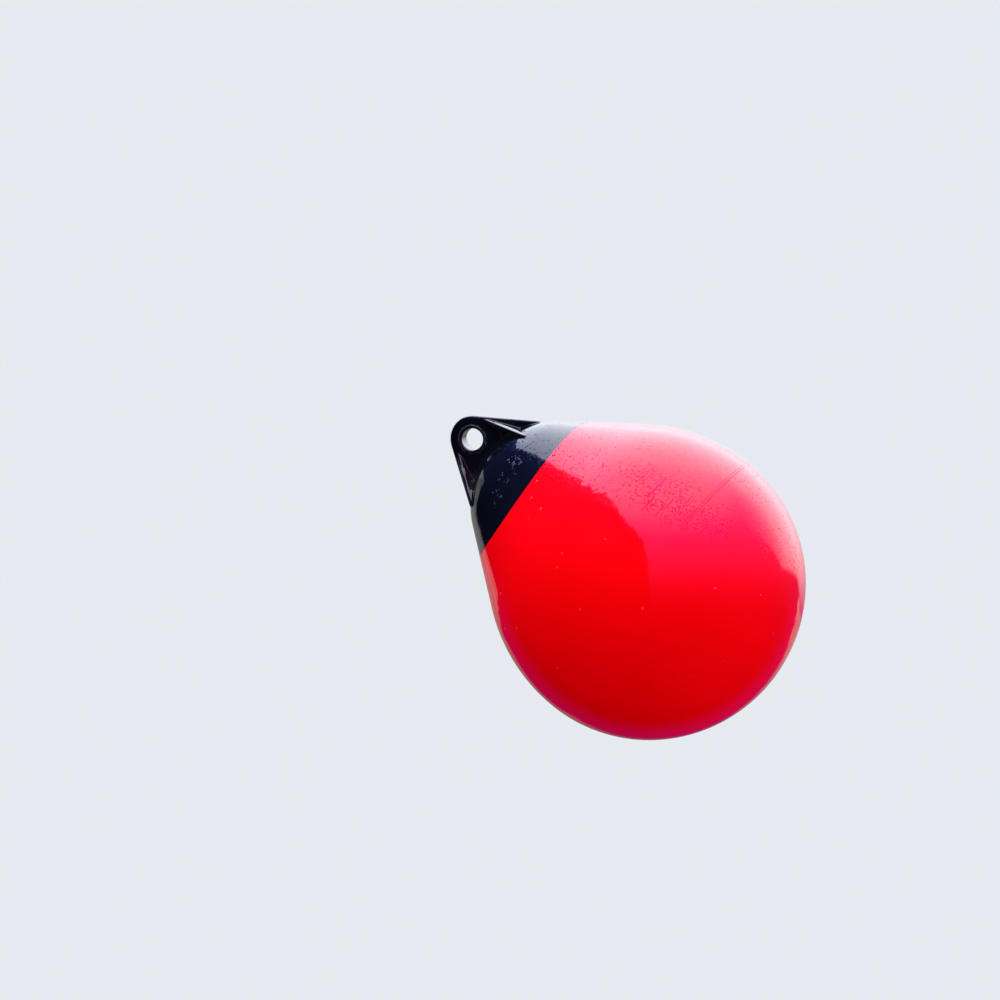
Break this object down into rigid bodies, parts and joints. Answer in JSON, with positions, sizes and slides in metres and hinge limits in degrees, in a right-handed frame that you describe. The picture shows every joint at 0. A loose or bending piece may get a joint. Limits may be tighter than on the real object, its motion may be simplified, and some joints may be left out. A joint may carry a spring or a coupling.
{
  "type": "inflatable round mooring buoy with a ribbed rope eye",
  "caption": "Round inflatable vinyl buoy: red pear-shaped skin, dark blue ribbed moulded end with a rope eye, and a screw-plug air valve at the bottom.",
  "frame": {"origin": "centre of the rope hole in the eye plate", "axes": "+Z along the buoy's axis, out through the tip of the eye; Y along the rope hole; X across the flat of the eye plate"},
  "size_m": [0.55, 0.55, 0.723],
  "materials": {
    "red_vinyl": "glossy blown vinyl",
    "blue_vinyl": "glossy solid moulded vinyl",
    "valve_plastic": "moulded hard plastic",
    "plug_plastic": "moulded hard plastic",
    "washer_rubber": "soft sealing rubber"
  },
  "bodies": {
    "buoy": {"body_shell": "red_vinyl", "rope_hold": "blue_vinyl", "valve_seat": "valve_plastic"},
    "washer": {"valve_washer": "washer_rubber"},
    "plug": {"valve_plug": "plug_plastic"}
  },
  "joints": [
    {"name": "plug_travel", "type": "slide", "parent": "buoy", "child": "washer", "axis": [0, 0, -1], "range_m": [0, 0.0101]},
    {"name": "plug_turn", "type": "hinge", "parent": "washer", "child": "plug", "pos_m": [0, 0, -0.68], "axis": [0, 0, -1], "range_deg": [0, 1440]}
  ],
  "couplings": [
    {"joint": "plug_travel", "follows": "plug_turn", "m_per_rad": 0.00039789}
  ]
}
